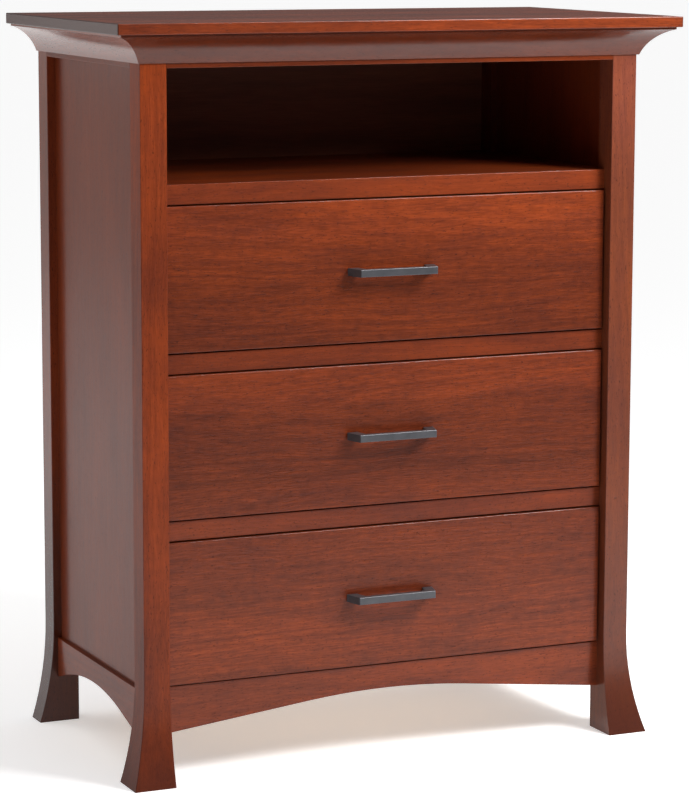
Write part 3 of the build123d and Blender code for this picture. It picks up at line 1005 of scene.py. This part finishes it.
class CHEST_OT_top(bpy.types.Operator):
    """Finish the top board and the mitred cove under it"""

    bl_idname = "chest.top"
    bl_label = "Top and crown"

    def execute(self, context):
        top = stained_cherry("Stained cherry top board", "X", (0.4, 1.9, 0.3), 1.02, 0.9, 1.5)
        dress(["top_board"], top)
        # The front cove's low tone paints in the shade under the top's overhang
        front = stained_cherry("Stained cherry front cove", "X", (1.7, 0.6, 0.8), 0.62, 0.5, 1.9)
        dress(["crown_cove_front"], front)
        ends = stained_cherry("Stained cherry side coves", "Y", (2.6, 1.1, 0.5), 1.10, 0.5, 2.1)
        dress(["crown_cove_left", "crown_cove_right"], ends)
        return {"FINISHED"}


class CHEST_OT_front_frame(bpy.types.Operator):
    """Finish the front rails, the divider rails and the arched apron"""

    bl_idname = "chest.front_frame"
    bl_label = "Front rails"

    def execute(self, context):
        rails = stained_cherry("Stained cherry front rails", "X", (1.2, 0.4, 2.1), 0.90, 0.6)
        dress(["front_top_rail", "divider_rail_upper", "divider_rail_lower"], rails)
        shelf = stained_cherry("Stained cherry shelf rail", "X", (5.2, 0.6, 1.1), 1.06, 0.6)
        dress(["shelf_front_rail"], shelf)
        apron = stained_cherry("Stained cherry apron", "X", (3.3, 1.5, 0.6), 0.95, 0.8)
        dress(["front_apron_rail"], apron)
        return {"FINISHED"}


class CHEST_OT_back(bpy.types.Operator):
    """Finish the back panel and the rails behind it"""

    bl_idname = "chest.back"
    bl_label = "Back"

    def execute(self, context):
        look = context.scene.chest_boxes
        sheet = veneered_plywood(
            "Stained plywood back", look.back_light, look.back_dark, (0.8, 0.1, 0.9)
        )
        dress(["back_panel"], sheet)
        rails = stained_cherry("Stained cherry rear rails", "X", (4.0, 0.9, 1.3), 0.85, 0.6)
        dress(["rear_top_rail", "rear_bottom_rail"], rails)
        return {"FINISHED"}


class CHEST_OT_bay(bpy.types.Operator):
    """Finish the media shelf and the battens along the sides"""

    bl_idname = "chest.bay"
    bl_label = "Media bay"

    def execute(self, context):
        shelf = stained_cherry("Stained cherry shelf", "X", (2.4, 2.2, 0.2), 0.95, 0.8)
        dress(["media_shelf"], shelf)
        battens = stained_cherry("Stained cherry battens", "Y", (1.1, 0.3, 0.5), 0.85, 0.5)
        dress(["side_battens"], battens)
        return {"FINISHED"}


class CHEST_OT_drawer_fronts(bpy.types.Operator):
    """Finish the three drawer fronts, each from its own board"""

    bl_idname = "chest.drawer_fronts"
    bl_label = "Drawer fronts"

    def execute(self, context):
        # Place in the log, tone, and then the shares of the way up and the tones at them
        boards = {
            "upper": (
                (0.35, 0.0, -0.86),
                1.09,
                (0.0, 0.2, 0.42, 0.55, 0.70, 0.80),
                (0.64, 0.70, 0.71, 0.80, 0.90, 1.0),
            ),
            "middle": (
                (1.95, 0.02, -0.55),
                0.97,
                (0.0, 0.19, 0.25, 0.31, 0.6, 0.72, 0.77),
                (0.84, 0.74, 0.60, 0.69, 0.76, 0.82, 1.0),
            ),
            "lower": (
                (3.65, 0.01, -0.29),
                0.975,
                (0.0, 0.12, 0.35, 0.46, 0.54, 0.9, 1.0),
                (0.86, 0.97, 1.0, 0.95, 0.87, 0.87, 0.80),
            ),
        }
        for place, (cut, tone, shares, tones) in boards.items():
            part = f"drawer_{place}_front"
            title = f"Stained cherry {place} drawer front"
            edges = [corner[UP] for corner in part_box(part)]
            stops = tuple(zip(shares, tones))
            board = stained_cherry(title, "X", cut, tone, edges=edges, stops=stops)
            dress([part], board)
        return {"FINISHED"}


class CHEST_OT_drawer_boxes(bpy.types.Operator):
    """Finish the dovetailed drawer boxes and their bottoms"""

    bl_idname = "chest.drawer_boxes"
    bl_label = "Drawer boxes"

    def execute(self, context):
        look = context.scene.chest_boxes
        ends = lacquered_maple("Lacquered maple box ends", "X", (0.2, 0.8, 0.1))
        sides = lacquered_maple("Lacquered maple box sides", "Y", (0.9, 0.3, 1.7))
        floor = veneered_plywood(
            "Clear plywood drawer bottoms", look.ply_light, look.ply_dark, (0.3, 0.7, 0.2)
        )
        for place in PLACES:
            part = f"drawer_{place}_"
            dress([part + "box_front", part + "box_back"], ends)
            dress([part + "side_left", part + "side_right"], sides)
            dress([part + "bottom"], floor)
        return {"FINISHED"}


class CHEST_OT_pulls(bpy.types.Operator):
    """Finish the bar pulls"""

    bl_idname = "chest.pulls"
    bl_label = "Pulls"

    def execute(self, context):
        dress([f"drawer_{place}_pull" for place in PLACES], gunmetal_lacquer())
        return {"FINISHED"}


class CHEST_OT_slides(bpy.types.Operator):
    """Finish the telescopic slides"""

    bl_idname = "chest.slides"
    bl_label = "Slides"

    def execute(self, context):
        look = context.scene.chest_hardware
        steel = zinc_plated_steel("Zinc-plated rolled steel", look.zinc, 0.34)
        dress(["slide_case_members"], steel)
        for kind in ("slide", "middle"):
            dress([f"drawer_{place}_{kind}_members" for place in PLACES], steel)
        return {"FINISHED"}


class CHEST_OT_screws(bpy.types.Operator):
    """Stand cross-head screws in for the plain ones"""

    bl_idname = "chest.screws"
    bl_label = "Screws"

    def execute(self, context):
        look = context.scene.chest_hardware
        steel = zinc_plated_steel("Yellow-passivated screw steel", look.screw, 0.36)
        fit_screws("back_screws", "case", DEEP, steel)
        fit_screws("top_screws", "case", UP, steel)
        for place in PLACES:
            fit_screws(f"drawer_{place}_pull_screws", f"drawer_{place}", DEEP, steel)
            fit_screws(f"drawer_{place}_front_screws", f"drawer_{place}", DEEP, steel)
        return {"FINISHED"}


class CHEST_OT_studio(bpy.types.Operator):
    """Set the floor, the soft lights and the camera"""

    bl_idname = "chest.studio"
    bl_label = "Studio"

    def execute(self, context):
        scene = context.scene
        look = scene.chest_studio
        scene.view_settings.view_transform = "Standard"

        # Matt paint that glows a little, like a light table, and is grey far in front of the chest
        front_grey, front_white = -4.3, -0.6
        paint, tree = new_material("Matt white floor paint")
        place = add_node(tree, "ShaderNodeTexCoord")
        axes = add_node(tree, "ShaderNodeSeparateXYZ", {0: place.outputs["Object"]})
        near = add_node(
            tree,
            "ShaderNodeMapRange",
            {"Value": axes.outputs[DEEP], "From Min": front_grey, "From Max": front_white},
        )
        front_shade = add_node(
            tree,
            "ShaderNodeMix",
            {0: near.outputs[0], 6: (*look.floor_front, 1.0), 7: (*look.floor, 1.0)},
            data_type="RGBA",
        )
        # Far to the left, behind the chest and out of the picture, it is grey again, and the
        # edge of this grey runs askew
        left_grey, left_white, skew = -5.4, -3.2, -0.32
        leftward = add_node(
            tree,
            "ShaderNodeMath",
            {0: axes.outputs[DEEP], 1: skew, 2: axes.outputs[0]},
            operation="MULTIPLY_ADD",
        )
        beside = add_node(
            tree,
            "ShaderNodeMapRange",
            {"Value": leftward.outputs[0], "From Min": left_grey, "From Max": left_white},
        )
        shade = add_node(
            tree,
            "ShaderNodeMix",
            {0: beside.outputs[0], 6: (*look.floor_left, 1.0), 7: front_shade.outputs[2]},
            data_type="RGBA",
        )
        shader = add_node(
            tree,
            "ShaderNodeBsdfPrincipled",
            {
                "Base Color": shade.outputs[2],
                "Roughness": 0.9,
                "Specular IOR Level": 0.1,
                "Emission Color": shade.outputs[2],
                "Emission Strength": look.floor_glow,
            },
        )
        add_node(tree, "ShaderNodeOutputMaterial", {"Surface": shader.outputs[0]})
        mesh = bpy.data.meshes.new("studio_floor")
        side, front, back = 90, -90, 120
        corners = [(-side, front, 0), (side, front, 0), (side, back, 0), (-side, back, 0)]
        mesh.from_pydata(corners, [], [(0, 1, 2, 3)])
        mesh.materials.append(paint)
        floor = bpy.data.objects.new("studio_floor", mesh)
        scene.collection.objects.link(floor)

        # White ceiling overhead, greyer walls around: bright tops, calm reflections. The limits
        # are how far up a direction points, from 0 at the horizon to 1 overhead
        wall_foot, wall_full, ceiling_foot, ceiling_full = 0.0, 0.20, 0.50, 0.70
        world = bpy.data.worlds.new("Studio")
        world.use_nodes = True
        sky = world.node_tree
        sky.nodes.clear()
        direction = add_node(sky, "ShaderNodeTexCoord")
        height = add_node(sky, "ShaderNodeSeparateXYZ", {0: direction.outputs["Generated"]})
        # The wall in front of the chest and to its left is the darkest
        front_left = add_node(
            sky,
            "ShaderNodeVectorMath",
            {0: direction.outputs["Generated"], 1: (-0.707, -0.707, 0.0)},
            operation="DOT_PRODUCT",
        )
        around = add_node(
            sky,
            "ShaderNodeMapRange",
            {
                "Value": front_left.outputs["Value"],
                "From Min": -1.0,
                "From Max": 1.0,
                "To Min": look.walls,
                "To Max": 0.0,
            },
        )
        walls = add_node(
            sky,
            "ShaderNodeMapRange",
            {
                "Value": height.outputs[UP],
                "From Min": wall_foot,
                "From Max": wall_full,
                "To Min": look.horizon,
                "To Max": around.outputs[0],
            },
        )
        brightness = add_node(
            sky,
            "ShaderNodeMapRange",
            {
                "Value": height.outputs[UP],
                "From Min": ceiling_foot,
                "From Max": ceiling_full,
                "To Min": walls.outputs[0],
                "To Max": look.overhead,
            },
        )
        glow = add_node(
            sky,
            "ShaderNodeBackground",
            {"Color": (1, 1, 1, 1), "Strength": brightness.outputs[0]},
        )
        add_node(sky, "ShaderNodeOutputWorld", {"Surface": glow.outputs[0]})
        scene.world = world

        # Each softbox's place, the point it faces, its size in metres and its power
        boxes = {
            "key_softbox": ((1.15, -1.5, 1.95), (0.0, -0.2, 0.75), 0.8, look.key_power),
            "fill_softbox": ((-2.2, 2.8, 1.6), (0.0, 0.0, 0.6), 1.5, look.fill_power),
            "glint_softbox": ((1.6, -1.2, 3.1), (0.0, -0.2, 0.75), 1.3, look.glint_power),
        }
        for name, (place, aim, size, power) in boxes.items():
            light = bpy.data.lights.new(name, "AREA")
            light.size = size
            light.energy = power
            lamp = bpy.data.objects.new(name, light)
            lamp.location = place
            facing = Vector(aim) - Vector(place)
            lamp.rotation_euler = facing.to_track_quat("-Z", "Y").to_euler()
            lamp.visible_camera = False
            # The low bright key would burn out in the varnish of the top, so the edges shine
            # from a higher box that lights nothing else
            lamp.visible_glossy = name != "key_softbox"
            lamp.visible_diffuse = name != "glint_softbox"
            scene.collection.objects.link(lamp)

        lens = bpy.data.cameras.new("camera")
        lens.sensor_width = 36
        lens.lens = look.focal_length
        lens.clip_end = 200
        camera = bpy.data.objects.new("camera", lens)
        camera.location = look.camera_place
        camera.rotation_euler = look.camera_turn
        scene.collection.objects.link(camera)
        scene.camera = camera
        return {"FINISHED"}


PIECES = (
    CHEST_OT_legs,
    CHEST_OT_sides,
    CHEST_OT_top,
    CHEST_OT_front_frame,
    CHEST_OT_back,
    CHEST_OT_bay,
    CHEST_OT_drawer_fronts,
    CHEST_OT_drawer_boxes,
    CHEST_OT_pulls,
    CHEST_OT_slides,
    CHEST_OT_screws,
    CHEST_OT_studio,
)


class CHEST_PT_panel(bpy.types.Panel):
    """Lists the chest's pieces and their looks."""

    bl_idname = "CHEST_PT_panel"
    bl_label = "Media chest"
    bl_space_type = "VIEW_3D"
    bl_region_type = "UI"
    bl_category = "Media Chest"

    def draw(self, context):
        for piece in PIECES:
            self.layout.operator(piece.bl_idname)
        for look in LOOKS:
            group = getattr(context.scene, look)
            box = self.layout.box()
            for name in group.__annotations__:
                box.prop(group, name)


LOOKS = {
    "chest_cherry": CherryLook,
    "chest_boxes": BoxLook,
    "chest_hardware": HardwareLook,
    "chest_studio": StudioLook,
}


def register():
    for kind in (*LOOKS.values(), *PIECES, CHEST_PT_panel):
        bpy.utils.register_class(kind)
    for name, kind in LOOKS.items():
        setattr(bpy.types.Scene, name, bpy.props.PointerProperty(type=kind))


def unregister():
    for name in LOOKS:
        delattr(bpy.types.Scene, name)
    for kind in reversed((*LOOKS.values(), *PIECES, CHEST_PT_panel)):
        bpy.utils.unregister_class(kind)


def main():
    """Make every piece in order."""
    register()
    for piece in PIECES:
        group, name = piece.bl_idname.split(".")
        getattr(getattr(bpy.ops, group), name)()


if __name__ == "__main__":
    main()
